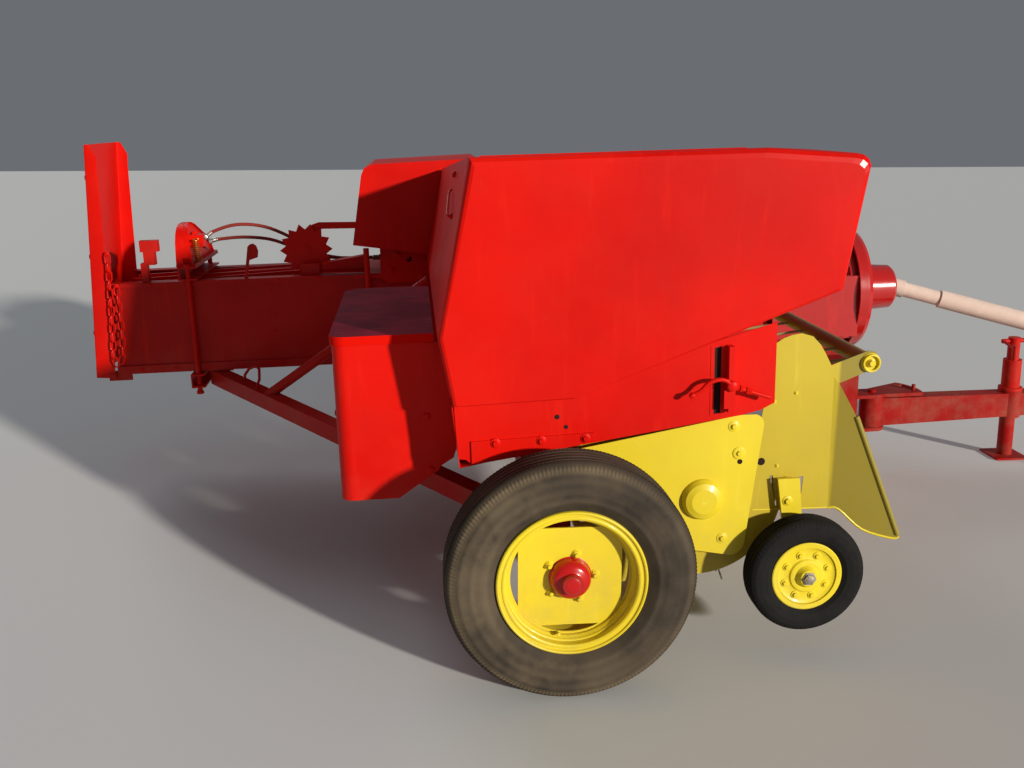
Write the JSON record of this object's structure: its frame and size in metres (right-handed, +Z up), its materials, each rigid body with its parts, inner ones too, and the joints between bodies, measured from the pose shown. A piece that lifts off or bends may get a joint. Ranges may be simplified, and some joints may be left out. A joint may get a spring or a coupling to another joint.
{
  "type": "towed square baler",
  "caption": "Towed square baler with a side pickup, bale case with knotter cover and needles, twine box, folded bale chute, flywheel, driveline and a swinging tongue on its jack.",
  "frame": {"origin": "on the ground under the middle of the overall length, halfway between the wheels' outer faces", "axes": "+X forward along the direction of travel, +Y to the machine's left, +Z up"},
  "size_m": [4.8438, 2.84, 1.522],
  "materials": {
    "red_paint": "satin",
    "yellow_paint": "satin",
    "olive_paint": "worn",
    "tyre_rubber": "matte",
    "hose_rubber": "matte",
    "worn_steel": "worn",
    "guard_plastic": "faded"
  },
  "bodies": {
    "frame": {"axle": "red_paint", "main_frame": "red_paint", "brace_beam": "red_paint", "bale_case": "red_paint", "chamber_front": "red_paint", "tension_rails": "red_paint", "tension_head": "red_paint", "tension_rods": "red_paint", "tension_hoses": "hose_rubber", "star_arm": "red_paint", "knotter_frame": "red_paint", "feeder_housing": "red_paint", "end_panel": "red_paint", "twine_box": "red_paint", "case_chain": "red_paint", "gearbox": "red_paint", "plunger": "red_paint", "flywheel_shield": "red_paint", "driveline_rear": "guard_plastic"},
    "measuring_wheel": {"star_wheel": "red_paint"},
    "cover": {"knotter_cover": "red_paint"},
    "needles": {"needle_yoke": "red_paint"},
    "feeder": {"feeder_carriage": "red_paint"},
    "shield": {"side_shield": "red_paint"},
    "lid": {"twine_lid": "red_paint"},
    "chute": {"bale_chute": "red_paint", "chute_chain": "red_paint"},
    "flywheel": {"flywheel": "red_paint"},
    "drive_front": {"driveline_front": "guard_plastic"},
    "tongue": {"tongue": "red_paint", "jack_tube": "red_paint"},
    "jack": {"jack_leg": "red_paint"},
    "pickup": {"pickup_sides": "yellow_paint", "pickup_shield": "yellow_paint", "pickup_frame": "yellow_paint", "stripper_bands": "yellow_paint", "gauge_bracket": "yellow_paint"},
    "reel": {"pickup_reel": "worn_steel"},
    "windguard": {"windguard": "olive_paint"},
    "gauge_wheel": {"gauge_tyre": "tyre_rubber", "gauge_rim": "yellow_paint"},
    "right_wheel": {"right_tyre": "tyre_rubber", "right_rim": "yellow_paint"},
    "left_wheel": {"left_tyre": "tyre_rubber", "left_rim": "yellow_paint"}
  },
  "joints": [
    {"name": "right_wheel_spin", "type": "hinge", "parent": "frame", "child": "right_wheel", "pos_m": [-0.58, -1.33, 0.355], "axis": [0, 1, 0], "continuous": true},
    {"name": "left_wheel_spin", "type": "hinge", "parent": "frame", "child": "left_wheel", "pos_m": [-0.58, 1.33, 0.355], "axis": [0, 1, 0], "continuous": true},
    {"name": "star_spin", "type": "hinge", "parent": "frame", "child": "measuring_wheel", "pos_m": [-1.47892, 0.778, 1.02016], "axis": [0, 1, 0], "continuous": true},
    {"name": "cover_hinge", "type": "hinge", "parent": "frame", "child": "cover", "pos_m": [-0.68034, 0.915, 1.01045], "axis": [0, 1, 0], "range_deg": [0, 70]},
    {"name": "needle_swing", "type": "hinge", "parent": "frame", "child": "needles", "pos_m": [-1.29936, 0.915, 0.68004], "axis": [0, -1, 0], "range_deg": [0, 66]},
    {"name": "feeder_slide", "type": "slide", "parent": "frame", "child": "feeder", "axis": [0, 1, 0], "range_m": [0, 0.9]},
    {"name": "shield_hinge", "type": "hinge", "parent": "frame", "child": "shield", "pos_m": [-0.33218, -1.1477, 1.51087], "axis": [-0.9996, 0, -0.0279], "range_deg": [0, 80]},
    {"name": "lid_hinge", "type": "hinge", "parent": "frame", "child": "lid", "pos_m": [-1.09737, -0.09, 0.96979], "axis": [-0.9996, 0, -0.0279], "range_deg": [0, 100]},
    {"name": "chute_hinge", "type": "hinge", "parent": "frame", "child": "chute", "pos_m": [-2.34906, 0.915, 0.47565], "axis": [0, -1, 0], "range_deg": [0, 94]},
    {"name": "flywheel_spin", "type": "hinge", "parent": "frame", "child": "flywheel", "pos_m": [1.13871, 0.915, 0.78316], "axis": [0.9996, 0, 0.0279], "continuous": true},
    {"name": "driveline_slide", "type": "slide", "parent": "frame", "child": "drive_front", "axis": [0.9358, -0.2619, -0.2358], "range_m": [-0.1, 0.15]},
    {"name": "tongue_swing", "type": "hinge", "parent": "frame", "child": "tongue", "pos_m": [1.16365, 0.58, 0.24864], "axis": [-0.0279, 0, 0.9996], "range_deg": [0, 22]},
    {"name": "jack_slide", "type": "slide", "parent": "tongue", "child": "jack", "axis": [-0.0279, 0, 0.9996], "range_m": [0, 0.18]},
    {"name": "pickup_lift", "type": "hinge", "parent": "frame", "child": "pickup", "pos_m": [-0.51687, -0.3, 0.60186], "axis": [0, 1, 0], "range_deg": [0, 8]},
    {"name": "reel_spin", "type": "hinge", "parent": "pickup", "child": "reel", "pos_m": [-0.14963, -0.3, 0.49107], "axis": [0, 1, 0], "continuous": true},
    {"name": "windguard_hinge", "type": "hinge", "parent": "pickup", "child": "windguard", "pos_m": [0.36144, -0.3, 0.8895], "axis": [0, 1, 0], "range_deg": [0, 20]},
    {"name": "gauge_wheel_spin", "type": "hinge", "parent": "pickup", "child": "gauge_wheel", "pos_m": [0.15567, -1.2, 0.26951], "axis": [0, 1, 0], "continuous": true}
  ]
}
